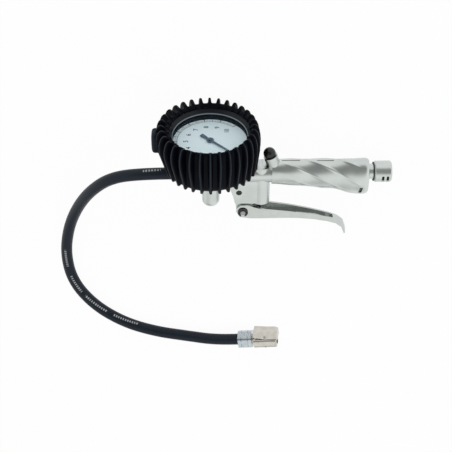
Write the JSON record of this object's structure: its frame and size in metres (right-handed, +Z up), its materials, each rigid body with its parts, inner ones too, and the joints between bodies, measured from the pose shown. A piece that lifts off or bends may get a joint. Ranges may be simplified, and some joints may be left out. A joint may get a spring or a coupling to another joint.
{
  "type": "tyre inflator",
  "caption": "Hand-held tyre inflator: trigger gun with a round gauge in a finned rubber boot, air inlet coupling, black hose and clip-on chuck.",
  "frame": {"origin": "on the table under the middle of the gun, which lies on its side, the hose and chuck not counted", "axes": "+Z up from the table, +X along the grip towards the gauge and the hose fitting, -Y the way the dial faces"},
  "size_m": [0.3487, 0.2975, 0.1013],
  "materials": {
    "body": "satin nickel plated casting",
    "steel": "satin",
    "plated": "bright",
    "brass": "machined",
    "rubber": "matte moulded",
    "hose": "smooth",
    "black": "gloss",
    "case": "satin",
    "dial": "matte",
    "needle": "matte",
    "glass": "clear",
    "inner": "matte"
  },
  "bodies": {
    "gun": {"gun_body": "body", "bleed_spring": "steel", "valve_gland": "brass", "valve_spring": "steel", "gauge_seal": "rubber", "gauge_case": "case", "gauge_stem": "brass", "bourdon_tube": "brass", "movement": "brass", "gauge_dial": "dial", "dial_ring": "inner", "gauge_window": "glass", "gauge_bezel": "case", "gauge_boot": "rubber", "inlet_nipple": "plated", "inlet_seal": "rubber", "inlet_coupler": "plated", "hose_nipple": "plated", "hose_ferrule": "plated", "hose": "hose", "chuck_nut": "plated", "chuck_body": "plated", "cross_pin": "steel", "chuck_seal": "rubber", "clip_pin": "steel", "clip_spring": "steel"},
    "lever": {"lever": "plated", "lever_pin": "steel", "lever_clips": "black"},
    "valve": {"valve_stem": "steel", "valve_seal": "rubber"},
    "bleed_button": {"bleed_button": "black"},
    "needle": {"needle": "needle"},
    "chuck_clip": {"chuck_clip": "plated"}
  },
  "joints": [
    {"name": "lever_pivot", "type": "hinge", "parent": "gun", "child": "lever", "pos_m": [0.03114, 0.03845, 0.02809], "axis": [-0.1787, 0.1962, 0.9641], "range_deg": [0, 14], "stiffness_Nm_per_rad": 2, "springref_deg": -11.46},
    {"name": "valve_slide", "type": "slide", "parent": "gun", "child": "valve", "axis": [-0.0358, -0.9806, 0.193], "range_m": [0, 0.0046], "deforming": ["valve_spring"]},
    {"name": "needle_turn", "type": "hinge", "parent": "gun", "child": "needle", "pos_m": [0.05965, -0.04264, 0.04988], "axis": [0.0358, 0.9806, -0.193], "range_deg": [0, 270], "stiffness_Nm_per_rad": 0.0002, "springref_deg": -17.19},
    {"name": "bleed_slide", "type": "slide", "parent": "gun", "child": "bleed_button", "axis": [-0.2698, 0.9326, -0.2398], "range_m": [0, 0.0016], "stiffness_N_per_m": 800, "springref_m": -0.002, "deforming": ["bleed_spring"]},
    {"name": "clip_pivot", "type": "hinge", "parent": "gun", "child": "chuck_clip", "pos_m": [0.0082, 0.20463, 0.0092], "axis": [0, 0, 1], "range_deg": [0, 12], "stiffness_Nm_per_rad": 0.3, "springref_deg": -11.46, "deforming": ["clip_spring"]}
  ],
  "couplings": [
    {"joint": "valve_slide", "follows": "lever_pivot", "m_per_rad": 0.0184}
  ]
}
